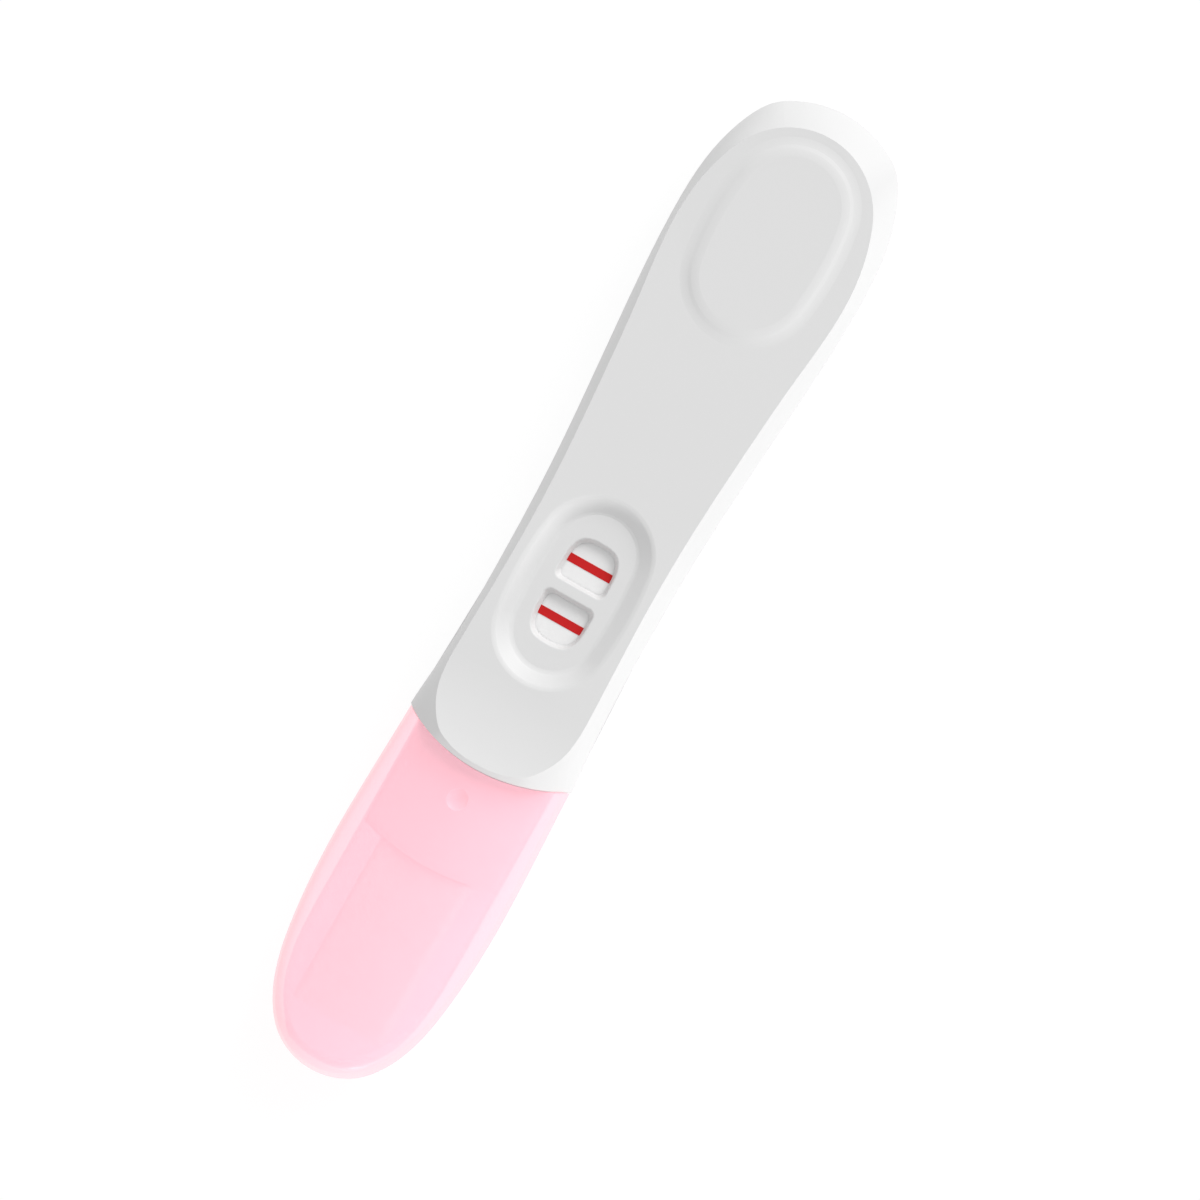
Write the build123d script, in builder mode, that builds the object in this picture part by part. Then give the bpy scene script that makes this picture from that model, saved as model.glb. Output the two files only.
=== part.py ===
from build123d import *
from math import sqrt
import os

# Midstream lateral flow test stick with a pull-off cap.
# X runs across the stick, Y along it towards the handle end, Z up.
# The origin lies under the middle of the stick, on the surface that it rests on.

# Plan of the stick and its cap, at the parting line
overall_length = 120.0
cap_width = 21.0
cap_widest_from_tip = 21.5
mouth_narrowing = 0.84
mouth_station_from_tip = 38.5
neck_narrowing = 0.32
neck_from_tip = 43.5
waist_width = 18.76
waist_from_tip = 59.5
bulb_width = 23.24
bulb_from_end = 18.0

# Heights above the surface that the stick rests on, and above the parting line
parting_height = 4.4
form_rise = 4.1
form_crown = 26.0
crown_round = 1.8
form_round = 2.2
form_lean = 1.5
tip_lean = 0.8
end_lean = 3.5

# Raised handle panel, with the sizes of its edge
panel_rise = 4.0
panel_fall = 0.45
panel_neck_width = 16.68
panel_neck_from_front = 10.85
panel_waist_width = 16.1
panel_bulb_width = 20.8
panel_bulb_from_end = 15.85
panel_end_lean = 3.2
panel_front_from_tip = 38.15
panel_front_lean = 6.35
lip_length = 9.6
lip_rise = 1.1

# Mouth, where the cap meets the shoulder of the holder
mouth_from_tip = 37.6
mouth_radius = 19.6
mouth_gap = 0.1

# Nose, which the cap slides over
nose_step = 1.78
nose_from_tip = 25.35
nose_end_radius = 26.5
nose_rise = 2.45
nose_drop = 2.75
nose_round = 0.9
nose_lean = 0.35
nose_root = 6.0

# Cap shell
cap_side_gap = 0.25
cap_top_gap = 0.35
cap_tip_wall = 1.26
cap_bore_straight_from_tip = 17.0
cap_bore_lean = 0.35
cap_bore_tip_lean = 0.4
cap_bore_round = 0.8
dimple_from_tip = 33.7
dimple_width = 2.5
dimple_depth = 0.35
bump_height = 0.2

# Reading dish and its two windows
dish_from_tip = 59.65
dish_length = 22.4
dish_width = 13.7
dish_slope = 1.9
dish_depth = 1.1
dish_round = 1.0
window_width = 6.2
window_height = 5.55
window_bar = 1.34
window_corner = 0.8
window_lean = 0.4
window_edge_round = 0.2

# Thumb pad
thumb_from_end = 16.35
thumb_length = 23.6
thumb_width = 15.6
thumb_slope = 1.3
thumb_rise = 0.4
thumb_round = 3.0

# Hollow of the holder
side_wall = 1.7
wall_lean = 0.8
front_wall_from_tip = 44.0
end_wall = 2.6
ceiling_rise = 2.85
floor_thickness = 1.4

# Test strip
strip_width = 6.0
strip_from_tip = 41.4
card_end_room = 13.5
card_thickness = 0.35
card_height = 5.75
membrane_length = 26.0
membrane_from_front = 5.3
membrane_thickness = 0.2
conjugate_from_front = 2.2
conjugate_thickness = 0.45
pad_overlap = 2.0
sink_from_card_end = 1.0
sink_thickness = 0.8
film_thickness = 0.08
line_width = 0.98
line_pitch = 6.58
line_thickness = 0.04

# Absorbent wick
wick_side_wall = 2.6
wick_from_tip = 6.05
wick_height = 3.25
wick_thickness = 2.45
wick_round = 0.9
wick_gap = 0.12
wick_overlap = 4.6
wick_tongue_thickness = 0.6
wick_climb_from_mouth = 0.9
wick_climb_length = 2.2
wick_climb_round = 1.2
strip_step_gap = 0.3

# Bed, guides and snap pins inside the holder
rail_width = 0.9
rail_inset = 0.4
guide_gap = 0.15
guide_width = 0.9
guide_length = 3.8
guide_front_from_tip = 46.2
guide_middle_from_tip = 74.0
guide_rear_from_tip = 92.0
press_gap = 0.1
frame_wall = 1.3
pin_width = 2.0
pin_bore_gap = 0.05
pin_boss_wall = 1.1
pin_length = 2.2
pin_end_gap = 0.2
pin_strip_gap = 0.5
pin_bulb_inset = 3.6
pin_front_from_tip = 50.6
pin_middle_from_tip = 82.0
pin_rear_from_end = 20.0
rib_width = 0.8

# Step in along the seam between the upper and the lower mould half, and the overrun of cuts
seam_step = 0.08
overrun = 2.0

# Widths worked out from the cap's width, so that the mouth, the neck, the nose and the wick follow it
mouth_width = cap_width - mouth_narrowing
neck_width = mouth_width - neck_narrowing
nose_width = mouth_width - 2 * nose_step
wick_width = nose_width - 2 * wick_side_wall

# Places along the stick
tip_y = -overall_length / 2
end_y = overall_length / 2
cap_widest_y = tip_y + cap_widest_from_tip
mouth_station_y = tip_y + mouth_station_from_tip
neck_y = tip_y + neck_from_tip
waist_y = tip_y + waist_from_tip
bulb_y = end_y - bulb_from_end
mouth_y = tip_y + mouth_from_tip
panel_front_y = tip_y + panel_front_from_tip
lip_start_y = panel_front_y + lip_length
panel_neck_y = panel_front_y + panel_neck_from_front
panel_bulb_y = end_y - panel_bulb_from_end
nose_y = tip_y + nose_from_tip
dish_y = tip_y + dish_from_tip
thumb_y = end_y - thumb_from_end
strip_y = tip_y + strip_from_tip
wick_y = tip_y + wick_from_tip

# Heights worked out from the sizes above
form_top = parting_height + form_rise
ceiling_height = parting_height + ceiling_rise
dish_floor_height = parting_height + panel_rise - dish_depth
card_top = card_height + card_thickness
membrane_top = card_top + membrane_thickness
wick_top = wick_height + wick_thickness
panel_slope = panel_fall / (end_y - panel_end_lean - waist_y)
front_wall_y = tip_y + front_wall_from_tip
card_end_y = end_y - end_wall - side_wall - wall_lean - card_end_room
membrane_y = strip_y + membrane_from_front
membrane_end_y = membrane_y + membrane_length
conjugate_y = strip_y + conjugate_from_front
conjugate_end_y = membrane_y + pad_overlap
wick_end_y = strip_y + wick_overlap
wick_climb_y = mouth_y + wick_climb_from_mouth
tongue_bottom = card_top + conjugate_thickness
tongue_top = tongue_bottom + wick_tongue_thickness
dimple_y = tip_y + dimple_from_tip
nose_top = parting_height + nose_rise
bore_top = nose_top + cap_top_gap
bore_bottom = parting_height - nose_drop - cap_top_gap
bore_crown = form_crown - form_top + bore_top
nose_crown = bore_crown - cap_top_gap
frame_bottom = membrane_top + press_gap
boss_radius = pin_width / 2 + pin_boss_wall
pin_strip_x = strip_width / 2 + pin_strip_gap + boss_radius
pin_bulb_x = bulb_width / 2 - pin_bulb_inset
guide_x = strip_width / 2 + guide_gap + guide_width / 2
rail_x = strip_width / 2 - rail_inset - rail_width / 2

# Places of the pins, and of the guides beside the card
pin_places = [
    (-pin_strip_x, tip_y + pin_front_from_tip),
    (pin_strip_x, tip_y + pin_front_from_tip),
    (-pin_strip_x, tip_y + pin_middle_from_tip),
    (pin_strip_x, tip_y + pin_middle_from_tip),
    (-pin_bulb_x, end_y - pin_rear_from_end),
    (pin_bulb_x, end_y - pin_rear_from_end),
]
guide_places = [
    (-guide_x, tip_y + guide_front_from_tip),
    (guide_x, tip_y + guide_front_from_tip),
    (-guide_x, tip_y + guide_middle_from_tip),
    (guide_x, tip_y + guide_middle_from_tip),
    (-guide_x, tip_y + guide_rear_from_tip),
    (guide_x, tip_y + guide_rear_from_tip),
]

# Points of round ends, as shares of the half width and of the length from the widest place to the end
cap_end_shares = [(0.454, 0.930), (0.640, 0.837), (0.829, 0.651), (0.946, 0.372)]
bulb_end_shares = [(0.974, 0.333), (0.838, 0.667), (0.588, 0.889)]
panel_end_shares = [(0.930, 0.310), (0.764, 0.652), (0.471, 0.889)]
foot_front_shares = [(0.546, 0.860), (0.840, 0.620), (0.965, 0.250)]
panel_front_shares = [(0.342, 0.970), (0.559, 0.907), (0.704, 0.820), (0.864, 0.659)]
bore_end_shares = [(0.430, 0.955), (0.600, 0.866), (0.770, 0.730), (0.935, 0.477)]

# Flank between waist and bulb, as shares of the way along it and of the widening
flank_shares = [(0.25, 0.095), (0.48, 0.375), (0.72, 0.740)]
panel_flank_shares = [(0.25, 0.050), (0.48, 0.330), (0.72, 0.740)]

# Bulge of the walls: how much of the lean comes late, towards the panel, as a share
wall_bulge_share = 0.45

# Levels of the sections of a form, as shares of its rise: past the top where a crown is cut from it
crowned_level_shares = (0, 0.6, 1.2)
plain_level_shares = (0, 0.5, 1)

# End radius of an oval, as a share of its half width, how far the cut of an oval runs past the panel,
# and the straight part of a window's side
oval_end_share = 0.95
oval_over_share = 0.25
window_shoulder_share = 0.36

# How far a face must look upwards to count as a top, as the upward share of its direction
upward_share = 0.1

# Cross ribs of the bed, as shares of the card's length
rib_place_shares = (0.14, 0.32, 0.50, 0.68, 0.86)


def round_end(shares, half_width, wide_y, last_y):
    """Points of a round end, with x and y worked out from its shares."""
    return [(half_width * x_share, wide_y + (last_y - wide_y) * y_share) for x_share, y_share in shares]


def flank(shares, start, finish):
    """Points of the flank between the waist and the widest place of the handle."""
    rise = finish[0] - start[0]
    run = finish[1] - start[1]
    return [(start[0] + rise * widening, start[1] + run * way) for way, widening in shares]


def stick_outline(lean, front_lean, rear_lean):
    """Right-hand side of the whole stick, drawn in by the leans given."""
    cap_half = cap_width / 2 - lean
    waist = (waist_width / 2 - lean, waist_y)
    bulb = (bulb_width / 2 - lean, bulb_y)
    points = [(0, tip_y + front_lean)]
    points += round_end(cap_end_shares, cap_half, cap_widest_y, tip_y + front_lean)
    points += [(cap_half, cap_widest_y), (mouth_width / 2 - lean, mouth_station_y)]
    points += [(neck_width / 2 - lean, neck_y), waist]
    points += flank(flank_shares, waist, bulb)
    points += [bulb]
    points += round_end(bulb_end_shares, bulb[0], bulb_y, end_y - rear_lean)
    points += [(0, end_y - rear_lean)]
    return points


def bulged(level):
    """Share of the lean that a wall has at a level, so that it bulges a little."""
    return level * (1 - wall_bulge_share) + level**2 * wall_bulge_share


def panel_level(y):
    """Height of the panel and its lip at a place along the stick, as a share of the panel's rise."""
    into_lip = max(0, lip_start_y - y) / lip_length
    return (panel_rise - panel_slope * (y - waist_y) + lip_rise * into_lip**2) / panel_rise


def panel_outline(share):
    """Right-hand side of the handle's wall, a share of the way from the parting line to the panel."""
    foot_waist = (waist_width / 2, waist_y)
    foot_bulb = (bulb_width / 2, bulb_y)
    foot_front_y = panel_front_y - panel_front_lean
    foot = [(0, foot_front_y)]
    foot += round_end(foot_front_shares, mouth_width / 2, mouth_station_y, foot_front_y)
    foot += [(mouth_width / 2, mouth_station_y), (neck_width / 2, neck_y), foot_waist]
    foot += flank(flank_shares, foot_waist, foot_bulb)
    foot += [foot_bulb]
    foot += round_end(bulb_end_shares, foot_bulb[0], bulb_y, end_y)
    foot += [(0, end_y)]
    edge_waist = (panel_waist_width / 2, waist_y)
    edge_bulb = (panel_bulb_width / 2, panel_bulb_y)
    edge_end_y = end_y - panel_end_lean
    edge = [(0, panel_front_y)]
    edge += round_end(panel_front_shares, panel_neck_width / 2, panel_neck_y, panel_front_y)
    edge += [(panel_neck_width / 2, panel_neck_y), edge_waist]
    edge += flank(panel_flank_shares, edge_waist, edge_bulb)
    edge += [edge_bulb]
    edge += round_end(panel_end_shares, edge_bulb[0], panel_bulb_y, edge_end_y)
    edge += [(0, edge_end_y)]
    outline = []
    for (foot_x, foot_y), (edge_x, edge_y) in zip(foot, edge):
        way = share / bulged(panel_level(edge_y))
        outline.append((foot_x + (edge_x - foot_x) * way, foot_y + (edge_y - foot_y) * way))
    return outline


def hollow_outline(lean):
    """Right-hand side of the hollow inside the holder."""
    waist = (waist_width / 2 - lean, waist_y)
    bulb = (bulb_width / 2 - lean, bulb_y)
    last_y = end_y - end_wall - lean
    points = [(neck_width / 2 - lean, tip_y + front_wall_from_tip), waist]
    points += flank(flank_shares, waist, bulb)
    points += [bulb]
    points += round_end(bulb_end_shares, bulb[0], bulb_y, last_y)
    points += [(0, last_y)]
    return points


def bore_outline(lean, front_lean):
    """Right-hand side of the hollow inside the cap."""
    half_width = nose_width / 2 + cap_side_gap - lean
    straight_y = tip_y + cap_bore_straight_from_tip
    last_y = tip_y + cap_tip_wall + front_lean
    points = [(0, last_y)]
    points += round_end(bore_end_shares, half_width, straight_y, last_y)
    points += [(half_width, straight_y)]
    return points


def tip_tangent(tip, joint, side):
    """Direction in which a side runs into the arc round a tip."""
    width = abs(joint[0] - tip[0])
    depth = abs(joint[1] - tip[1])
    radius = (width**2 + depth**2) / (2 * depth)
    return (side * (radius - depth) / radius, width / radius)


def outline_face(points):
    """Closed face of a right-hand side and its mirror image, with an arc round each tip."""
    first, last = points[0], points[-1]
    start, finish = points[1], points[-2]
    start_way = tip_tangent(first, start, 1)
    finish_way = tip_tangent(last, finish, -1)
    left = [(-x, y) for x, y in reversed(points[1:-1])]
    left_ways = [(finish_way[0], -finish_way[1]), (start_way[0], -start_way[1])]
    with BuildSketch() as face:
        with BuildLine():
            Spline(*points[1:-1], tangents=[start_way, finish_way], tangent_scalars=[1, 1])
            ThreePointArc(finish, last, left[0])
            Spline(*left, tangents=left_ways, tangent_scalars=[1, 1])
            ThreePointArc(left[-1], first, start)
        make_face()
    return face.sketch


def hollow_face(lean):
    """Face of the holder's hollow: flat at the front, round at the handle end."""
    points = hollow_outline(lean)
    last, finish = points[-1], points[-2]
    finish_way = tip_tangent(last, finish, -1)
    left = [(-x, y) for x, y in reversed(points[:-1])]
    left_ways = [(finish_way[0], -finish_way[1]), (0, -1)]
    with BuildSketch() as face:
        with BuildLine():
            Spline(*points[:-1], tangents=[(0, 1), finish_way], tangent_scalars=[1, 1])
            ThreePointArc(finish, last, left[0])
            Spline(*left, tangents=left_ways, tangent_scalars=[1, 1])
            Line(left[-1], points[0])
        make_face()
    return face.sketch


def bore_face(lean, front_lean):
    """Face of the cap's hollow: round at the tip, straight to past the mouth."""
    points = bore_outline(lean, front_lean)
    first, start = points[0], points[1]
    start_way = tip_tangent(first, start, 1)
    right_end = (points[-1][0], mouth_y + mouth_radius)
    left_end = (-right_end[0], right_end[1])
    left = [(-x, y) for x, y in reversed(points[1:])]
    with BuildSketch() as face:
        with BuildLine():
            Spline(*points[1:], tangents=[start_way, (0, 1)], tangent_scalars=[1, 1])
            Line(points[-1], right_end)
            Line(right_end, left_end)
            Line(left_end, left[0])
            Spline(*left, tangents=[(0, -1), (start_way[0], -start_way[1])], tangent_scalars=[1, 1])
            ThreePointArc(left[-1], first, start)
        make_face()
    return face.sketch


def oval_face(length, width):
    """Oval of four tangent arcs, with its centre at the origin."""
    half_length = length / 2
    half_width = width / 2
    end_radius = half_width * oval_end_share
    end_centre = half_length - end_radius
    side_radius = (half_width**2 + end_centre**2 - end_radius**2) / (2 * (half_width - end_radius))
    side_centre = side_radius - half_width
    reach = sqrt(side_centre**2 + end_centre**2)
    join_x = side_centre / reach * end_radius
    join_y = end_centre + end_centre / reach * end_radius
    with BuildSketch() as face:
        with BuildLine():
            ThreePointArc((join_x, -join_y), (half_width, 0), (join_x, join_y))
            ThreePointArc((join_x, join_y), (0, half_length), (-join_x, join_y))
            ThreePointArc((-join_x, join_y), (-half_width, 0), (-join_x, -join_y))
            ThreePointArc((-join_x, -join_y), (0, -half_length), (join_x, -join_y))
        make_face()
    return face.sketch


def window_face(lean, side):
    """D shape of one window: flat towards the bar, round away from it. Side is 1 or -1 along Y."""
    half_width = window_width / 2 - lean
    flat_y = side * (window_bar / 2 + lean)
    far_y = side * (window_bar / 2 + window_height - lean)
    corner_x = half_width - window_corner
    corner_y = flat_y + side * window_corner
    shoulder_y = flat_y + (far_y - flat_y) * window_shoulder_share
    with BuildSketch() as face:
        with BuildLine():
            Line((-corner_x, flat_y), (corner_x, flat_y))
            TangentArc((corner_x, flat_y), (half_width, corner_y), tangent=(1, 0))
            Line((half_width, corner_y), (half_width, shoulder_y))
            crown = [(half_width, shoulder_y), (0, far_y), (-half_width, shoulder_y)]
            Spline(*crown, tangents=[(0, side), (0, -side)])
            Line((-half_width, shoulder_y), (-half_width, corner_y))
            TangentArc((-half_width, corner_y), (-corner_x, flat_y), tangent=(0, -side))
        make_face()
    return face.sketch


def nose_face(lean):
    """Face of the nose, from its curved front end to its root inside the holder."""
    half_width = nose_width / 2 - lean
    front_y = nose_y + lean
    side_y = front_y + nose_end_radius - sqrt(nose_end_radius**2 - half_width**2)
    back_y = mouth_y + nose_root
    with BuildSketch() as face:
        with BuildLine():
            ThreePointArc((-half_width, side_y), (0, front_y), (half_width, side_y))
            Line((half_width, side_y), (half_width, back_y))
            Line((half_width, back_y), (-half_width, back_y))
            Line((-half_width, back_y), (-half_width, side_y))
        make_face()
    return face.sketch


def layer_face(lower, thickness):
    """Side view of a layer of even thickness that follows a lower line."""
    upper = [(y, z + thickness) for y, z in reversed(lower)]
    with BuildSketch() as face:
        with BuildLine():
            Polyline(*lower, *upper, close=True)
        make_face()
    return face.sketch


def panel_plane(y, lift):
    """Plane that follows the panel's gentle fall towards the handle end, lifted off it."""
    height = parting_height + panel_rise - panel_slope * (y - waist_y) + lift
    return Plane(origin=(0, y, height), x_dir=(1, 0, 0), z_dir=(0, panel_slope, 1))


def crown_face(top, radius):
    """Everything under an arc across the stick, for a crowned top."""
    half_width = bulb_width / 2 + overrun
    edge_top = top - radius + sqrt(radius**2 - half_width**2)
    with BuildSketch() as face:
        with BuildLine():
            ThreePointArc((-half_width, edge_top), (0, top), (half_width, edge_top))
            Polyline((half_width, edge_top), (half_width, 0), (-half_width, 0), (-half_width, edge_top))
        make_face()
    return face.sketch


def wick_face(gap, first_y, last_y, lower):
    """Side view of the wick and its tongue, or of the slot round it, above a lower line."""
    climb_end_y = wick_climb_y + wick_climb_length
    with BuildSketch() as face:
        with BuildLine():
            FilletPolyline(
                (first_y, wick_top + gap),
                (wick_climb_y, wick_top + gap),
                (climb_end_y, tongue_top + gap),
                (last_y, tongue_top + gap),
                radius=wick_climb_round,
            )
            Polyline((last_y, tongue_top + gap), *lower, (first_y, wick_top + gap))
        make_face()
    return face.sketch


def oval_rim(piece, y, lift, length, width):
    """Edges of an oval on the panel, at a lift above it."""
    plane = panel_plane(y, lift)
    reach = thumb_rise * oval_over_share
    rim = []
    for edge in piece.edges():
        middle = plane.to_local_coords(edge.position_at(0.5))
        inside = abs(middle.X) < width / 2 + reach and abs(middle.Y) < length / 2 + reach
        if inside and abs(middle.Z) < reach:
            rim.append(edge)
    return rim


def top_edges(piece):
    """Long upper edges of the wick or its slot, which all lie at its two sides."""
    half_width = piece.part.bounding_box().max.X
    tops = [face for face in piece.faces() if face.normal_at().Z > upward_share]
    edges = [edge for face in tops for edge in face.edges()]
    return [edge for edge in edges if abs(abs(edge.center().X) - half_width) < wick_gap / 2]


def mouth_region(gap):
    """Everything in front of the curved mouth, less a gap."""
    with BuildPart() as region:
        with BuildSketch(Plane.XY.offset(-overrun)):
            with Locations((0, mouth_y + mouth_radius)):
                Rectangle(bulb_width + 2 * overrun, overall_length, align=(Align.CENTER, Align.MAX))
                Circle(mouth_radius + gap, mode=Mode.SUBTRACT)
        extrude(amount=form_top + lip_rise + 3 * overrun)
    return region.part


# Outer form of the cap and the mouth, above and below the parting line
with BuildPart() as form_above:
    for level in crowned_level_shares:
        lean = bulged(level)
        with BuildSketch(Plane.XY.offset(parting_height + form_rise * level)):
            add(outline_face(stick_outline(form_lean * lean, tip_lean * lean, end_lean * lean)))
    loft()
    with BuildSketch(Plane.XZ):
        add(crown_face(form_top, form_crown))
    extrude(amount=overall_length, both=True, mode=Mode.INTERSECT)
    fillet(form_above.faces().sort_by(Axis.Z)[-1].edges(), crown_round)

with BuildPart() as form_below:
    for level in plain_level_shares:
        lean = bulged(level)
        leans = [lean * full_lean + seam_step for full_lean in (form_lean, tip_lean, end_lean)]
        with BuildSketch(Plane.XY.offset(parting_height * (1 - level))):
            add(outline_face(stick_outline(*leans)))
    loft()
    fillet(form_below.faces().sort_by(Axis.Z)[0].edges(), form_round)

# Handle above the parting line, up to the panel and its lip, with the thumb pad and the reading dish
with BuildPart() as handle_above:
    top_level = (panel_rise + 2 * lip_rise) / panel_rise
    for level in (0, top_level / 2, top_level):
        with BuildSketch(Plane.XY.offset(parting_height + panel_rise * level)):
            add(outline_face(panel_outline(bulged(level))))
    loft()
    with BuildSketch(Plane.YZ):
        lip_start = (lip_start_y, panel_plane(lip_start_y, 0).origin.Z)
        lip_top = (panel_front_y, panel_plane(panel_front_y, lip_rise).origin.Z)
        rear_y = end_y + overrun
        rear_top = (rear_y, panel_plane(rear_y, 0).origin.Z)
        front_y = panel_front_y - panel_front_lean - overrun
        with BuildLine():
            Line(rear_top, lip_start)
            TangentArc(lip_start, lip_top, tangent=(-1, panel_slope))
            Polyline(
                lip_top,
                (front_y, lip_top[1]),
                (front_y, parting_height),
                (rear_y, parting_height),
                rear_top,
            )
        make_face()
    extrude(amount=bulb_width, both=True, mode=Mode.INTERSECT)
    # Thumb pad
    thumb_top = (thumb_length - 2 * thumb_slope, thumb_width - 2 * thumb_slope)
    thumb_over = 2 * thumb_slope * oval_over_share
    with BuildSketch(panel_plane(thumb_y, -thumb_rise * oval_over_share)):
        add(oval_face(thumb_length + thumb_over, thumb_width + thumb_over))
    with BuildSketch(panel_plane(thumb_y, thumb_rise)):
        add(oval_face(*thumb_top))
    loft()
    fillet(oval_rim(handle_above, thumb_y, thumb_rise, *thumb_top), thumb_round)
    fillet(oval_rim(handle_above, thumb_y, 0, thumb_length, thumb_width), thumb_round)
    # Reading dish
    dish_floor = (dish_length - 2 * dish_slope, dish_width - 2 * dish_slope)
    dish_over = 2 * dish_slope * oval_over_share
    with BuildSketch(panel_plane(dish_y, dish_depth * oval_over_share)):
        add(oval_face(dish_length + dish_over, dish_width + dish_over))
    with BuildSketch(panel_plane(dish_y, -dish_depth)):
        add(oval_face(*dish_floor))
    loft(mode=Mode.SUBTRACT)
    fillet(oval_rim(handle_above, dish_y, -dish_depth, *dish_floor), dish_round)
    fillet(oval_rim(handle_above, dish_y, 0, dish_length, dish_width), dish_round)

# Nose halves, rounded along their outer edges
with BuildPart() as nose_above:
    for level in crowned_level_shares:
        with BuildSketch(Plane.XY.offset(parting_height + nose_rise * level)):
            add(nose_face(nose_lean * level))
    loft()
    with BuildSketch(Plane.XZ):
        add(crown_face(nose_top, nose_crown))
    extrude(amount=overall_length, both=True, mode=Mode.INTERSECT)
    fillet(nose_above.faces().sort_by(Axis.Z)[-1].edges(), nose_round)

with BuildPart() as nose_below:
    with BuildSketch(Plane.XY.offset(parting_height)):
        add(nose_face(0))
    with BuildSketch(Plane.XY.offset(parting_height - nose_drop)):
        add(nose_face(nose_lean))
    loft()
    fillet(nose_below.faces().sort_by(Axis.Z)[0].edges(), nose_round)

# Slot for the wick in both halves of the holder, rounded like the wick
with BuildPart() as wick_slot:
    with BuildSketch(Plane.YZ):
        slot_front_y = nose_y - overrun
        slot_rear_y = front_wall_y + overrun
        slot_step_y = strip_y - strip_step_gap
        slot_floor = [
            (slot_rear_y, parting_height),
            (slot_step_y, parting_height),
            (slot_step_y, wick_height - wick_gap),
            (slot_front_y, wick_height - wick_gap),
        ]
        add(wick_face(wick_gap, slot_front_y, slot_rear_y, slot_floor))
    extrude(amount=wick_width / 2 + wick_gap, both=True)
    fillet(top_edges(wick_slot), wick_round + wick_gap)

# Upper half of the holder
with BuildPart() as upper_shell:
    add(handle_above.part)
    add(mouth_region(0), mode=Mode.SUBTRACT)
    add(nose_above.part)
    # Hollow, the frame that hangs round the windows, and the bosses with their pins
    with BuildSketch(Plane.XY.offset(parting_height)):
        add(hollow_face(side_wall))
    with BuildSketch(Plane.XY.offset(ceiling_height)):
        add(hollow_face(side_wall + wall_lean))
    loft(mode=Mode.SUBTRACT)
    with BuildSketch(Plane.XY.offset(frame_bottom)):
        with Locations((0, dish_y)):
            add(oval_face(dish_floor[0] + 2 * frame_wall, dish_floor[1] + 2 * frame_wall))
    extrude(amount=ceiling_height - frame_bottom)
    with BuildSketch(Plane.XY.offset(parting_height)):
        with Locations(*pin_places):
            Circle(boss_radius)
    extrude(amount=ceiling_height - parting_height)
    with BuildSketch(Plane.XY.offset(parting_height)):
        with Locations(*pin_places):
            Circle(pin_width / 2)
    extrude(amount=-pin_length)
    add(wick_slot.part, mode=Mode.SUBTRACT)
    # Windows, a little wider above the dish's floor so that the cut runs past it
    window_lean_over = window_lean * window_edge_round / (dish_floor_height - frame_bottom)
    for side in (-1, 1):
        with BuildSketch(Plane.XY.offset(dish_floor_height + window_edge_round)):
            with Locations((0, dish_y)):
                add(window_face(-window_lean_over, side))
        with BuildSketch(Plane.XY.offset(frame_bottom)):
            with Locations((0, dish_y)):
                add(window_face(window_lean, side))
        loft(mode=Mode.SUBTRACT)
    windows_length = window_bar + 2 * window_height
    fillet(oval_rim(upper_shell, dish_y, -dish_depth, windows_length, window_width), window_edge_round)

# Lower half of the holder
with BuildPart() as lower_shell:
    add(form_below.part)
    add(mouth_region(0), mode=Mode.SUBTRACT)
    add(nose_below.part)
    with BuildSketch(Plane.XY.offset(parting_height)):
        add(hollow_face(side_wall))
    with BuildSketch(Plane.XY.offset(floor_thickness)):
        add(hollow_face(side_wall + wall_lean))
    loft(mode=Mode.SUBTRACT)
    add(wick_slot.part, mode=Mode.SUBTRACT)
    # Bed of rails and cross ribs under the card
    with BuildSketch(Plane.XY.offset(floor_thickness)):
        with Locations((-rail_x, strip_y), (rail_x, strip_y)):
            Rectangle(rail_width, card_end_y - strip_y, align=(Align.CENTER, Align.MIN))
        with Locations(*[(0, strip_y + (card_end_y - strip_y) * share) for share in rib_place_shares]):
            Rectangle(2 * rail_x, rib_width)
    extrude(amount=card_height - floor_thickness)
    # Guides beside the card and the stop behind it
    with BuildSketch(Plane.XY.offset(floor_thickness)):
        with Locations(*guide_places):
            Rectangle(guide_width, guide_length)
        with Locations((0, card_end_y + guide_gap)):
            Rectangle(strip_width, guide_width, align=(Align.CENTER, Align.MIN))
    extrude(amount=membrane_top - floor_thickness)
    # Sockets for the pins
    with BuildSketch(Plane.XY.offset(floor_thickness)):
        with Locations(*pin_places):
            Circle(boss_radius)
    extrude(amount=parting_height - floor_thickness)
    with BuildSketch(Plane.XY.offset(parting_height)):
        with Locations(*pin_places):
            Circle(pin_width / 2 + pin_bore_gap)
    extrude(amount=-(pin_length + pin_end_gap), mode=Mode.SUBTRACT)

# Hollow of the cap
with BuildPart() as bore_above:
    for level in crowned_level_shares:
        with BuildSketch(Plane.XY.offset(parting_height + (bore_top - parting_height) * level)):
            add(bore_face(cap_bore_lean * level, cap_bore_tip_lean * level))
    loft()
    with BuildSketch(Plane.XZ):
        add(crown_face(bore_top, bore_crown))
    extrude(amount=overall_length, both=True, mode=Mode.INTERSECT)
    fillet(bore_above.faces().sort_by(Axis.Z)[-1].edges(), cap_bore_round)

with BuildPart() as bore_below:
    with BuildSketch(Plane.XY.offset(parting_height)):
        add(bore_face(0, 0))
    with BuildSketch(Plane.XY.offset(bore_bottom)):
        add(bore_face(cap_bore_lean, cap_bore_tip_lean))
    loft()
    fillet(bore_below.faces().sort_by(Axis.Z)[0].edges(), cap_bore_round)

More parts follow.
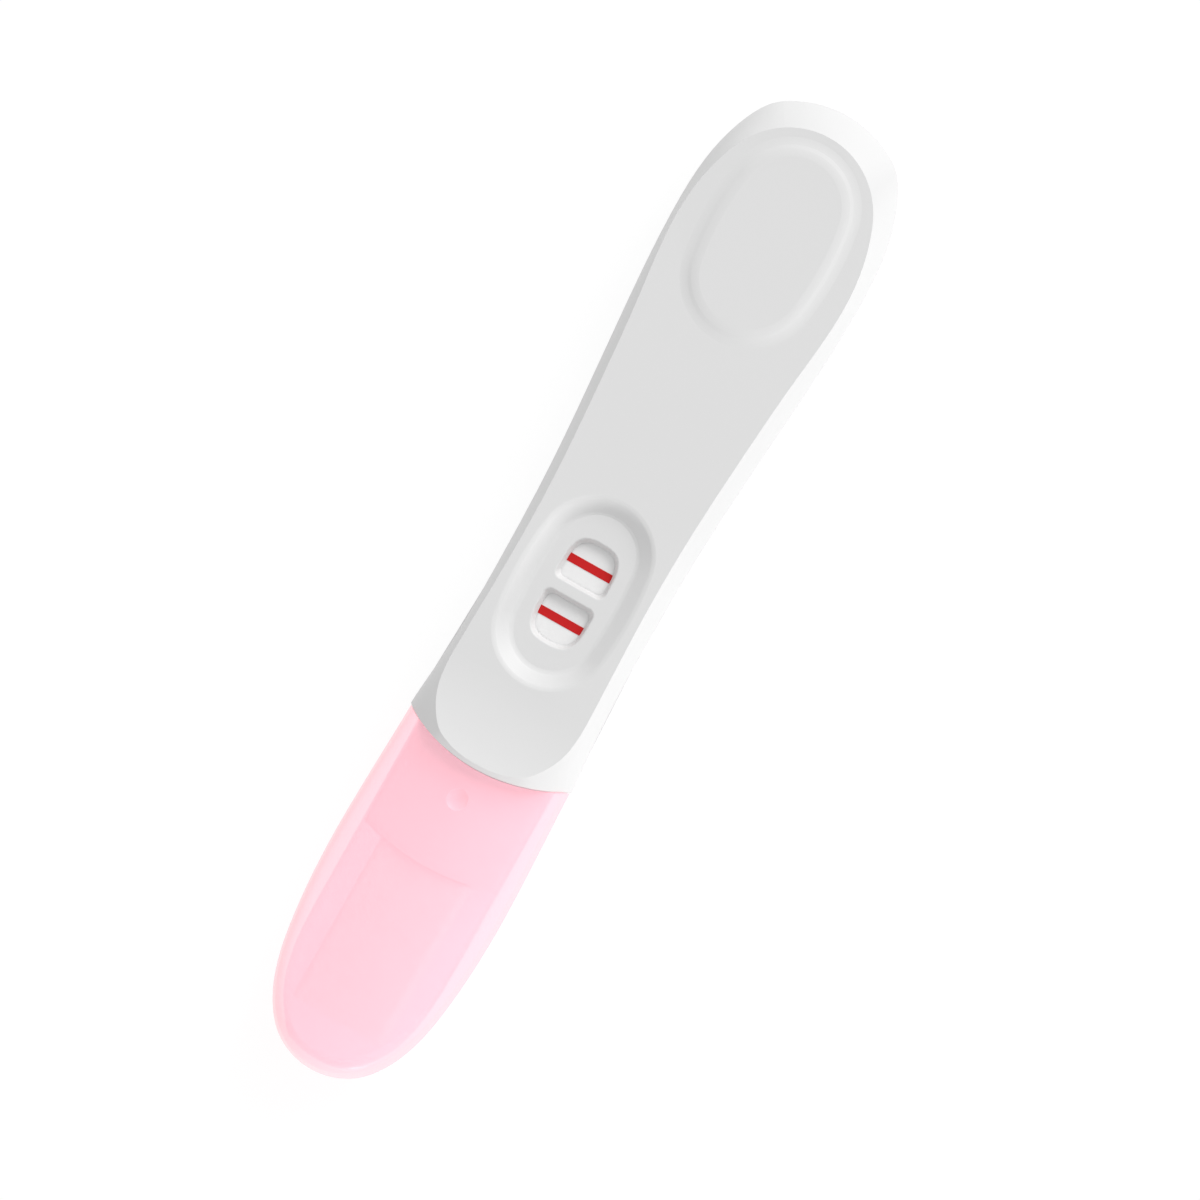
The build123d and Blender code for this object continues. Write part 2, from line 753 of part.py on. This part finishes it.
with BuildPart() as cap:
    add(form_above.part)
    add(form_below.part)
    add(mouth_region(mouth_gap), mode=Mode.INTERSECT)
    add(bore_above.part, mode=Mode.SUBTRACT)
    add(bore_below.part, mode=Mode.SUBTRACT)
    # Dimple in the top, and the small bump that it makes under the top wall
    dimple_radius = ((dimple_width / 2) ** 2 + dimple_depth**2) / (2 * dimple_depth)
    with Locations((0, dimple_y, form_top - dimple_depth + dimple_radius)):
        Sphere(dimple_radius, mode=Mode.SUBTRACT)
    with BuildSketch(Plane(origin=(0, dimple_y, bore_top), x_dir=(1, 0, 0), z_dir=(0, -1, 0))):
        with BuildLine():
            bump_radius = dimple_width / 2
            TangentArc((0, -bump_height), (bump_radius, 0), tangent=(1, 0))
            Polyline((bump_radius, 0), (bump_radius, bump_height), (0, bump_height), (0, -bump_height))
        make_face()
    revolve(axis=Axis((0, dimple_y, 0), (0, 0, 1)))

# Absorbent wick, with its long upper edges rounded and a thin tongue over the dye pad
with BuildPart() as absorbent_wick:
    with BuildSketch(Plane.YZ):
        add(wick_face(0, wick_y, wick_end_y, [(wick_end_y, wick_height), (wick_y, wick_height)]))
    extrude(amount=wick_width / 2, both=True)
    fillet(top_edges(absorbent_wick), wick_round)
    with BuildSketch(Plane.YZ):
        with BuildLine():
            Polyline(
                (wick_climb_y, wick_height),
                (strip_y - strip_step_gap - wick_gap, tongue_bottom),
                (wick_end_y, tongue_bottom),
                (wick_end_y, wick_height),
                close=True,
            )
        make_face()
    extrude(amount=wick_width, both=True, mode=Mode.SUBTRACT)

# Test strip, from its card up
with BuildPart() as backing_card:
    with BuildSketch(Plane.XY.offset(card_height)):
        with Locations((0, strip_y)):
            Rectangle(strip_width, card_end_y - strip_y, align=(Align.CENTER, Align.MIN))
    extrude(amount=card_thickness)

with BuildPart() as membrane:
    with BuildSketch(Plane.XY.offset(card_top)):
        with Locations((0, membrane_y)):
            Rectangle(strip_width, membrane_length, align=(Align.CENTER, Align.MIN))
    extrude(amount=membrane_thickness)

conjugate_line = [
    (conjugate_y, card_top),
    (membrane_y - membrane_thickness, card_top),
    (membrane_y, membrane_top),
    (conjugate_end_y, membrane_top),
]
with BuildPart() as conjugate_pad:
    with BuildSketch(Plane.YZ):
        add(layer_face(conjugate_line, conjugate_thickness))
    extrude(amount=strip_width / 2, both=True)

sink_line = [
    (membrane_end_y - pad_overlap, membrane_top),
    (membrane_end_y, membrane_top),
    (membrane_end_y + membrane_thickness, card_top),
    (card_end_y - sink_from_card_end, card_top),
]
with BuildPart() as sink_pad:
    with BuildSketch(Plane.YZ):
        add(layer_face(sink_line, sink_thickness))
    extrude(amount=strip_width / 2, both=True)

film_line = [(wick_end_y + strip_step_gap, card_top + conjugate_thickness)]
film_line += [(y, z + conjugate_thickness) for y, z in conjugate_line[1:]]
with BuildPart() as cover_film:
    with BuildSketch(Plane.YZ):
        add(layer_face(film_line, film_thickness))
    extrude(amount=strip_width / 2, both=True)

# Dye lines across the membrane, one in each window
with BuildPart() as test_line:
    with BuildSketch(Plane.XY.offset(membrane_top)):
        with Locations((0, dish_y - line_pitch / 2)):
            Rectangle(strip_width, line_width)
    extrude(amount=line_thickness)

with BuildPart() as control_line:
    with BuildSketch(Plane.XY.offset(membrane_top)):
        with Locations((0, dish_y + line_pitch / 2)):
            Rectangle(strip_width, line_width)
    extrude(amount=line_thickness)

nodes = {
    "upper_shell": upper_shell,
    "lower_shell": lower_shell,
    "cap": cap,
    "absorbent_wick": absorbent_wick,
    "backing_card": backing_card,
    "membrane": membrane,
    "conjugate_pad": conjugate_pad,
    "sink_pad": sink_pad,
    "cover_film": cover_film,
    "test_line": test_line,
    "control_line": control_line,
}
os.makedirs("parts", exist_ok=True)
for name, piece in nodes.items():
    piece.part.label = name
    export_step(piece.part, f"parts/{name}.step")
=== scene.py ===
import math
import random

import bpy
from mathutils import Matrix, Vector, noise


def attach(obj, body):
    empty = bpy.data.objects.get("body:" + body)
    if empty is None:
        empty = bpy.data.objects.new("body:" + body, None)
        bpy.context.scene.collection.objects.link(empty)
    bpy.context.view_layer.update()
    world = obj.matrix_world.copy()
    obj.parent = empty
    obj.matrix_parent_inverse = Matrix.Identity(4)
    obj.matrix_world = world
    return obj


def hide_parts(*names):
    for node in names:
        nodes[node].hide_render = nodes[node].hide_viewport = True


# Midstream test stick: white two-part holder, translucent pink cap, felt wick and test strip.
# Metres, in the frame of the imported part: X across the stick, Y towards the handle end, Z up.

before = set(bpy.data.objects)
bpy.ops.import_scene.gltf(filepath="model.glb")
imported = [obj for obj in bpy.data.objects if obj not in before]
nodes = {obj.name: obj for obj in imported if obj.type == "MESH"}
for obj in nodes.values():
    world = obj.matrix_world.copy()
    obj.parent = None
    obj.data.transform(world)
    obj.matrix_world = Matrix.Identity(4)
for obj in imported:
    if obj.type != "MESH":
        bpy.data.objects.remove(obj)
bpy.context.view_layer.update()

# Photograph's view: nearly from above, rolled a little towards the stick's right-hand side
VIEW_ROLL = math.radians(6.25)
VIEW_TURN = math.radians(29.34)
VIEW_WIDTH = 0.13162
VIEW_CENTRE_ALONG = 0.00041
VIEW_CENTRE_ACROSS = 0.002468
VIEW_CENTRE_HEIGHT = 0.0044
LENS = 600.0
SENSOR = 36.0
CLIP_NEAR = 0.01
CLIP_FAR = 100.0

# Soft light from the handle end, a low lamp on the right-hand side towards the cap, and the white room
KEY_FROM = (0.28, 0.82, 0.50)
KEY_STRENGTH = 1.88
KEY_SOFTNESS = math.radians(34)
SIDE_FROM = (1.0, -1.2, 0.05)
SIDE_STRENGTH = 1.55
SIDE_SOFTNESS = math.radians(4)
ROOM_STRENGTH = 0.69

# White floor: how much light it gives back, how bright it shows by itself, and the share of that glow
FLOOR_SIZE = 12.0
FLOOR_DROP = 0.00004
FLOOR_WHITE = 0.93
FLOOR_GLOW = 1.03
FLOOR_GLOW_SHARE = 0.88

# Depth of the grain in plastic and of the fibres in felt and paper, and how rough fibres are
GRAIN_HEIGHT = 0.00002
FIBRE_HEIGHT = 0.00006
FIBRE_ROUGHNESS = 0.9

# Pads: mesh step, and the hollows of the felt with the roughness, spacing and layers of their noise
WICK_STEP = 0.00016
STRIP_PAD_STEP = 0.00014
HOLLOW_DEPTH = 0.00005
HOLLOW_SIZE = 0.0006
HOLLOW_NOISE = (1.0, 2.0, 3)

# Loose fibres on the flat faces of the wick
FIBRE_SEED = 11
FIBRE_COUNT = 900
FLAT_SHARE = 0.97
FIBRE_LENGTH = (0.0009, 0.0022)
FIBRE_RADIUS = 0.000014
FIBRE_LIFT = 0.00003
FIBRE_STEPS = 5
FIBRE_SIDES = 3
FIBRE_SWING = math.radians(38)
FIBRE_BEND_SHARE = 0.25


def add_object(name, data):
    added = bpy.data.objects.new(name, data)
    bpy.context.scene.collection.objects.link(added)
    return added


def place_camera():
    """Camera at the photograph's angle, far off with a long lens."""
    across = Vector((math.cos(VIEW_ROLL), 0, -math.sin(VIEW_ROLL)))
    along = Vector((0, 1, 0))
    back = Vector((math.sin(VIEW_ROLL), 0, math.cos(VIEW_ROLL)))
    right = across * math.cos(VIEW_TURN) + along * math.sin(VIEW_TURN)
    up = along * math.cos(VIEW_TURN) - across * math.sin(VIEW_TURN)
    target = Vector((0, VIEW_CENTRE_ALONG, VIEW_CENTRE_HEIGHT)) + across * VIEW_CENTRE_ACROSS
    distance = VIEW_WIDTH * LENS / SENSOR
    data = bpy.data.cameras.new("photo_camera")
    data.lens = LENS
    data.sensor_width = SENSOR
    data.clip_start = CLIP_NEAR
    data.clip_end = CLIP_FAR
    data.dof.use_dof = False
    camera = add_object("photo_camera", data)
    camera.rotation_mode = "QUATERNION"
    turned = [[right[i], up[i], back[i]] for i in range(3)]
    camera.rotation_quaternion = Matrix(turned).to_quaternion()
    camera.location = target + back * distance
    bpy.context.scene.camera = camera


def new_material(name):
    material = bpy.data.materials.new(name)
    material.use_nodes = True
    material.node_tree.nodes.clear()
    return material


def add_node(tree, kind, **settings):
    node = tree.nodes.new(kind)
    for key, value in settings.items():
        setattr(node, key, value)
    return node


def seen_ray(tree):
    """1 where the camera, a reflection or a look through clear plastic meets the surface."""
    path = add_node(tree, "ShaderNodeLightPath")
    first = add_node(tree, "ShaderNodeMath", operation="MAXIMUM")
    second = add_node(tree, "ShaderNodeMath", operation="MAXIMUM")
    tree.links.new(path.outputs["Is Camera Ray"], first.inputs[0])
    tree.links.new(path.outputs["Is Glossy Ray"], first.inputs[1])
    tree.links.new(first.outputs[0], second.inputs[0])
    tree.links.new(path.outputs["Is Transmission Ray"], second.inputs[1])
    return second.outputs[0]


def light_room():
    """White room, and a white backdrop where it is seen."""
    world = bpy.data.worlds.new("white_room")
    bpy.context.scene.world = world
    world.use_nodes = True
    tree = world.node_tree
    tree.nodes.clear()
    room = add_node(tree, "ShaderNodeBackground")
    backdrop = add_node(tree, "ShaderNodeBackground")
    for light, strength in ((room, ROOM_STRENGTH), (backdrop, 1.0)):
        light.inputs["Color"].default_value = (1, 1, 1, 1)
        light.inputs["Strength"].default_value = strength
    mix = add_node(tree, "ShaderNodeMixShader")
    out = add_node(tree, "ShaderNodeOutputWorld")
    tree.links.new(seen_ray(tree), mix.inputs["Fac"])
    tree.links.new(room.outputs[0], mix.inputs[1])
    tree.links.new(backdrop.outputs[0], mix.inputs[2])
    tree.links.new(mix.outputs[0], out.inputs["Surface"])


def hang_lamp(name, direction, strength, softness):
    """Lamp that shines from a direction on the whole stick alike."""
    data = bpy.data.lights.new(name, "SUN")
    data.energy = strength
    data.angle = softness
    lamp = add_object(name, data)
    lamp.rotation_mode = "QUATERNION"
    lamp.rotation_quaternion = Vector(direction).to_track_quat("Z", "Y")
    lamp.location = Vector(direction)


def lay_floor():
    """White floor that keeps a faint shadow under the stick."""
    half = FLOOR_SIZE / 2
    mesh = bpy.data.meshes.new("floor")
    places = ((-half, -half), (half, -half), (half, half), (-half, half))
    mesh.from_pydata([(x, y, -FLOOR_DROP) for x, y in places], [], [(0, 1, 2, 3)])
    floor = add_object("floor", mesh)
    material = new_material("floor_white")
    tree = material.node_tree
    matt = add_node(tree, "ShaderNodeBsdfDiffuse")
    matt.inputs["Color"].default_value = (FLOOR_WHITE, FLOOR_WHITE, FLOOR_WHITE, 1)
    glow = add_node(tree, "ShaderNodeEmission")
    glow.inputs["Strength"].default_value = FLOOR_GLOW
    share = add_node(tree, "ShaderNodeMath", operation="MULTIPLY")
    share.inputs[1].default_value = FLOOR_GLOW_SHARE
    mix = add_node(tree, "ShaderNodeMixShader")
    out = add_node(tree, "ShaderNodeOutputMaterial")
    tree.links.new(seen_ray(tree), share.inputs[0])
    tree.links.new(share.outputs[0], mix.inputs["Fac"])
    tree.links.new(matt.outputs[0], mix.inputs[1])
    tree.links.new(glow.outputs[0], mix.inputs[2])
    tree.links.new(mix.outputs[0], out.inputs["Surface"])
    mesh.materials.append(material)


def group_socket(group, name, kind, way, value=None):
    socket = group.interface.new_socket(name=name, in_out=way, socket_type=kind)
    if value is not None:
        socket.default_value = value
    return socket


def moulded_skin_group():
    """Faint cloudiness and fine texture of moulded plastic."""
    group = bpy.data.node_groups.new("moulded_skin", "ShaderNodeTree")
    group_socket(group, "Colour", "NodeSocketColor", "INPUT", (0.8, 0.8, 0.8, 1))
    group_socket(group, "Cloud Depth", "NodeSocketFloat", "INPUT", 0.02)
    group_socket(group, "Cloud Scale", "NodeSocketFloat", "INPUT", 60.0)
    group_socket(group, "Roughness", "NodeSocketFloat", "INPUT", 0.4)
    group_socket(group, "Roughness Spread", "NodeSocketFloat", "INPUT", 0.06)
    group_socket(group, "Grain Scale", "NodeSocketFloat", "INPUT", 4000.0)
    group_socket(group, "Colour", "NodeSocketColor", "OUTPUT")
    group_socket(group, "Roughness", "NodeSocketFloat", "OUTPUT")
    group_socket(group, "Height", "NodeSocketFloat", "OUTPUT")
    given = add_node(group, "NodeGroupInput")
    made = add_node(group, "NodeGroupOutput")
    place = add_node(group, "ShaderNodeTexCoord")
    cloud = add_node(group, "ShaderNodeTexNoise")
    cloud.inputs["Detail"].default_value = 3.0
    grain = add_node(group, "ShaderNodeTexNoise")
    grain.inputs["Detail"].default_value = 2.0
    group.links.new(place.outputs["Object"], cloud.inputs["Vector"])
    group.links.new(place.outputs["Object"], grain.inputs["Vector"])
    group.links.new(given.outputs["Cloud Scale"], cloud.inputs["Scale"])
    group.links.new(given.outputs["Grain Scale"], grain.inputs["Scale"])
    depth = add_node(group, "ShaderNodeMath", operation="MULTIPLY")
    group.links.new(cloud.outputs["Fac"], depth.inputs[0])
    group.links.new(given.outputs["Cloud Depth"], depth.inputs[1])
    shade = add_node(group, "ShaderNodeMath", operation="SUBTRACT")
    shade.inputs[0].default_value = 1.0
    group.links.new(depth.outputs[0], shade.inputs[1])
    tone = add_node(group, "ShaderNodeVectorMath", operation="SCALE")
    group.links.new(given.outputs["Colour"], tone.inputs[0])
    group.links.new(shade.outputs[0], tone.inputs["Scale"])
    group.links.new(tone.outputs[0], made.inputs["Colour"])
    spread = add_node(group, "ShaderNodeMath", operation="MULTIPLY_ADD")
    group.links.new(cloud.outputs["Fac"], spread.inputs[0])
    group.links.new(given.outputs["Roughness Spread"], spread.inputs[1])
    group.links.new(given.outputs["Roughness"], spread.inputs[2])
    group.links.new(spread.outputs[0], made.inputs["Roughness"])
    group.links.new(grain.outputs["Fac"], made.inputs["Height"])
    return group


def fibre_group():
    """Matted fibres of felt, paper and pads, longer along the stick than across it, with painted shade in
    the low hollows between fibres.
    """
    group = bpy.data.node_groups.new("matted_fibres", "ShaderNodeTree")
    group_socket(group, "Colour", "NodeSocketColor", "INPUT", (0.85, 0.85, 0.83, 1))
    group_socket(group, "Painted Hollow Shade", "NodeSocketColor", "INPUT", (0.7, 0.7, 0.68, 1))
    group_socket(group, "Fibre Scale", "NodeSocketFloat", "INPUT", 2500.0)
    group_socket(group, "Fibre Stretch", "NodeSocketFloat", "INPUT", 0.3)
    group_socket(group, "Colour", "NodeSocketColor", "OUTPUT")
    group_socket(group, "Height", "NodeSocketFloat", "OUTPUT")
    given = add_node(group, "NodeGroupInput")
    made = add_node(group, "NodeGroupOutput")
    place = add_node(group, "ShaderNodeTexCoord")
    longer = add_node(group, "ShaderNodeCombineXYZ")
    longer.inputs["X"].default_value = 1.0
    longer.inputs["Z"].default_value = 1.0
    group.links.new(given.outputs["Fibre Stretch"], longer.inputs["Y"])
    stretch = add_node(group, "ShaderNodeVectorMath", operation="MULTIPLY")
    group.links.new(place.outputs["Object"], stretch.inputs[0])
    group.links.new(longer.outputs[0], stretch.inputs[1])
    fibres = add_node(group, "ShaderNodeTexNoise")
    fibres.inputs["Detail"].default_value = 5.0
    fibres.inputs["Roughness"].default_value = 0.65
    fibres.inputs["Distortion"].default_value = 0.8
    group.links.new(stretch.outputs[0], fibres.inputs["Vector"])
    group.links.new(given.outputs["Fibre Scale"], fibres.inputs["Scale"])
    # The second colour is painted shade: the colour turns darker where the fibre bump is low, in the
    # hollows between fibres.
    tone = add_node(group, "ShaderNodeMix", data_type="RGBA")
    group.links.new(fibres.outputs["Fac"], tone.inputs["Factor"])
    group.links.new(given.outputs["Painted Hollow Shade"], tone.inputs["A"])
    group.links.new(given.outputs["Colour"], tone.inputs["B"])
    group.links.new(tone.outputs["Result"], made.inputs["Colour"])
    group.links.new(fibres.outputs["Fac"], made.inputs["Height"])
    return group


def surface(name, group, group_values, bump_strength, bump_height, shader_values):
    """Material of a shared effect. What is plain all over is set on the shader itself."""
    material = new_material(name)
    tree = material.node_tree
    use = add_node(tree, "ShaderNodeGroup", node_tree=group)
    for socket, value in group_values.items():
        use.inputs[socket].default_value = value
    shader = add_node(tree, "ShaderNodeBsdfPrincipled")
    for socket, value in shader_values.items():
        shader.inputs[socket].default_value = value
    bump = add_node(tree, "ShaderNodeBump")
    bump.inputs["Strength"].default_value = bump_strength
    bump.inputs["Distance"].default_value = bump_height
    out = add_node(tree, "ShaderNodeOutputMaterial")
    tree.links.new(use.outputs["Colour"], shader.inputs["Base Color"])
    if "Roughness" in use.outputs:
        tree.links.new(use.outputs["Roughness"], shader.inputs["Roughness"])
    tree.links.new(use.outputs["Height"], bump.inputs["Height"])
    tree.links.new(bump.outputs["Normal"], shader.inputs["Normal"])
    tree.links.new(shader.outputs[0], out.inputs["Surface"])
    return material


def plastic(name, colour, roughness, grain, shader_values):
    """Moulded plastic."""
    given = {"Colour": (*colour, 1), "Roughness": roughness}
    return surface(name, skin, given, grain, GRAIN_HEIGHT, shader_values)


def fibre(name, colour, painted_hollow_shade, scale, stretch, depth):
    """Felt, paper or pad of fibres."""
    # The hollow colour is painted shade, darker where the fibres lie low.
    given = {
        "Colour": (*colour, 1),
        "Painted Hollow Shade": (*painted_hollow_shade, 1),
        "Fibre Scale": scale,
        "Fibre Stretch": stretch,
    }
    return surface(name, fibres, given, depth, FIBRE_HEIGHT, {"Roughness": FIBRE_ROUGHNESS})


def clear_plastic(material, edge_colour, front_alpha, edge_alpha, back_alpha, shadow_alpha):
    """Lets a plastic be seen through: less and in a deeper colour where it is met aslant."""
    tree = material.node_tree
    shader = next(node for node in tree.nodes if node.type == "BSDF_PRINCIPLED")
    slant = add_node(tree, "ShaderNodeLayerWeight")
    deeper = add_node(tree, "ShaderNodeMix", data_type="RGBA")
    deeper.inputs["B"].default_value = (*edge_colour, 1)
    tree.links.new(slant.outputs["Facing"], deeper.inputs["Factor"])
    tree.links.new(shader.inputs["Base Color"].links[0].from_socket, deeper.inputs["A"])
    tree.links.new(deeper.outputs["Result"], shader.inputs["Base Color"])
    front = add_node(tree, "ShaderNodeMapRange")
    front.inputs["To Min"].default_value = front_alpha
    front.inputs["To Max"].default_value = edge_alpha
    facing = add_node(tree, "ShaderNodeNewGeometry")
    alpha = add_node(tree, "ShaderNodeMapRange")
    alpha.inputs["To Max"].default_value = back_alpha
    path = add_node(tree, "ShaderNodeLightPath")
    lit = add_node(tree, "ShaderNodeMapRange")
    lit.inputs["To Max"].default_value = shadow_alpha
    tree.links.new(slant.outputs["Facing"], front.inputs["Value"])
    tree.links.new(front.outputs["Result"], alpha.inputs["To Min"])
    tree.links.new(facing.outputs["Backfacing"], alpha.inputs["Value"])
    tree.links.new(path.outputs["Is Shadow Ray"], lit.inputs["Value"])
    tree.links.new(alpha.outputs["Result"], lit.inputs["To Min"])
    tree.links.new(lit.outputs["Result"], shader.inputs["Alpha"])


def settle_piece(piece, node, material):
    """Puts a finished piece in the place of a CAD node on the stick."""
    piece.data.materials.clear()
    piece.data.materials.append(material)
    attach(piece, "stick")
    if node:
        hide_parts(node)


def felt_pad(name, node, step, material):
    """Pad of felted fibres in the place of its CAD node, with small hollows all over."""
    piece = add_object(name, nodes[node].data.copy())
    remesh = piece.modifiers.new("even_mesh", "REMESH")
    remesh.mode = "VOXEL"
    remesh.voxel_size = step
    graph = bpy.context.evaluated_depsgraph_get()
    mesh = bpy.data.meshes.new_from_object(piece.evaluated_get(graph))
    piece.modifiers.clear()
    piece.data = mesh
    normals = [vertex.normal.copy() for vertex in mesh.vertices]
    for vertex, normal in zip(mesh.vertices, normals):
        depth = 0.5 + 0.5 * noise.fractal(vertex.co / HOLLOW_SIZE, *HOLLOW_NOISE)
        vertex.co -= normal * HOLLOW_DEPTH * min(max(depth, 0.0), 1.0)
    for polygon in mesh.polygons:
        polygon.use_smooth = True
    settle_piece(piece, node, material)
    return piece


def fibre_tube(points):
    """Corners and faces of a thin three-sided tube along some points."""
    corners, faces = [], []
    way = (points[-1] - points[0]).normalized()
    aside = way.orthogonal().normalized()
    over = way.cross(aside)
    for point in points:
        for turn in range(FIBRE_SIDES):
            angle = turn * math.tau / FIBRE_SIDES
            corners.append(point + (aside * math.cos(angle) + over * math.sin(angle)) * FIBRE_RADIUS)
    for ring in range(len(points) - 1):
        for turn in range(FIBRE_SIDES):
            near, far = ring * FIBRE_SIDES + turn, ring * FIBRE_SIDES + (turn + 1) % FIBRE_SIDES
            faces.append((near, far, far + FIBRE_SIDES, near + FIBRE_SIDES))
    last = len(corners) - FIBRE_SIDES
    faces += [(2, 1, 0), (last, last + 1, last + 2)]
    return corners, faces


def loose_fibres(pad, name, material):
    """Loose fibres that lie on the flat faces of a pad, most of them along the stick."""
    dice = random.Random(FIBRE_SEED)
    faces = [
        face for face in pad.data.polygons
        if abs(face.normal.z) > FLAT_SHARE or face.normal.y < -FLAT_SHARE
    ]
    corners, sides = [], []
    for face in dice.sample(faces, min(FIBRE_COUNT, len(faces))):
        length = dice.uniform(*FIBRE_LENGTH)
        swing = dice.gauss(0, 1) * FIBRE_SWING
        along = Vector((math.sin(swing), math.cos(swing), 0))
        if abs(face.normal.z) < FLAT_SHARE:
            along = Vector((math.cos(swing), 0, math.sin(swing)))
        aside = face.normal.cross(along)
        bend = dice.uniform(-FIBRE_BEND_SHARE, FIBRE_BEND_SHARE) * length
        points = []
        for step in range(FIBRE_STEPS):
            way = step / (FIBRE_STEPS - 1) - 0.5
            arch = 1 - 4 * way * way
            lift = face.normal * (FIBRE_LIFT * arch - FIBRE_RADIUS)
            points.append(face.center + along * (way * length) + aside * (bend * arch) + lift)
        tube_corners, tube_faces = fibre_tube(points)
        start = len(corners)
        corners += tube_corners
        sides += [tuple(start + corner for corner in tube) for tube in tube_faces]
    mesh = bpy.data.meshes.new(name)
    mesh.from_pydata(corners, [], sides)
    settle_piece(add_object(name, mesh), None, material)


def finish_node(node, material):
    """Gives a CAD node its material."""
    mesh = nodes[node].data
    mesh.materials.clear()
    mesh.materials.append(material)


place_camera()
light_room()
hang_lamp("key_lamp", KEY_FROM, KEY_STRENGTH, KEY_SOFTNESS)
hang_lamp("side_lamp", SIDE_FROM, SIDE_STRENGTH, SIDE_SOFTNESS)
lay_floor()

skin = moulded_skin_group()
fibres = fibre_group()

holder_white = plastic(
    "holder_white", colour=(0.73, 0.73, 0.73), roughness=0.42, grain=0.15,
    shader_values={"Specular IOR Level": 0.25},
)
# The cap's emission is painted glow: it stands in for light scattering through the thin translucent pink
# plastic, so the cap glows though it is no lamp.
cap_pink_painted_glow = plastic(
    "cap_pink_painted_glow", colour=(0.98, 0.405, 0.50), roughness=0.32, grain=0.1,
    shader_values={
        "Emission Color": (1.0, 0.81, 0.88, 1), "Emission Strength": 0.33, "Specular IOR Level": 0.3,
    },
)
clear_plastic(
    cap_pink_painted_glow, edge_colour=(0.98, 0.335, 0.36),
    front_alpha=0.66, edge_alpha=0.9, back_alpha=0.15, shadow_alpha=0.22,
)
# Each fibre material's second colour is painted shade in the hollows between its fibres.
wick_felt = fibre(
    "wick_felt", colour=(0.90, 0.89, 0.87), painted_hollow_shade=(0.74, 0.72, 0.70),
    scale=2200.0, stretch=0.35, depth=0.6,
)
membrane_white = fibre(
    "membrane_white", colour=(0.86, 0.86, 0.86), painted_hollow_shade=(0.80, 0.80, 0.80),
    scale=5000.0, stretch=1.0, depth=0.15,
)
dye_red = fibre(
    "dye_red", colour=(0.60, 0.006, 0.007), painted_hollow_shade=(0.52, 0.004, 0.005),
    scale=5000.0, stretch=1.0, depth=0.1,
)
pad_dyed = fibre(
    "pad_dyed", colour=(0.72, 0.34, 0.40), painted_hollow_shade=(0.55, 0.16, 0.24),
    scale=3000.0, stretch=0.5, depth=0.4,
)
pad_white = fibre(
    "pad_white", colour=(0.86, 0.86, 0.84), painted_hollow_shade=(0.74, 0.74, 0.72),
    scale=2600.0, stretch=0.7, depth=0.4,
)
card_white = plastic("card_white", colour=(0.80, 0.80, 0.80), roughness=0.35, grain=0.1, shader_values={})
film_clear = plastic(
    "film_clear", colour=(0.85, 0.86, 0.86), roughness=0.15, grain=0.05,
    shader_values={"Alpha": 0.3},
)

finish_node("upper_shell", holder_white)
finish_node("lower_shell", holder_white)
# The cap's material carries painted glow in its emission.
finish_node("cap", cap_pink_painted_glow)
finish_node("membrane", membrane_white)
finish_node("test_line", dye_red)
finish_node("control_line", dye_red)
finish_node("backing_card", card_white)
finish_node("cover_film", film_clear)

wick_pad = felt_pad("wick_pad", "absorbent_wick", WICK_STEP, wick_felt)
loose_fibres(wick_pad, "wick_fibres", wick_felt)
felt_pad("dye_pad", "conjugate_pad", STRIP_PAD_STEP, pad_dyed)
felt_pad("end_pad", "sink_pad", STRIP_PAD_STEP, pad_white)

bpy.context.scene.view_settings.view_transform = "Standard"
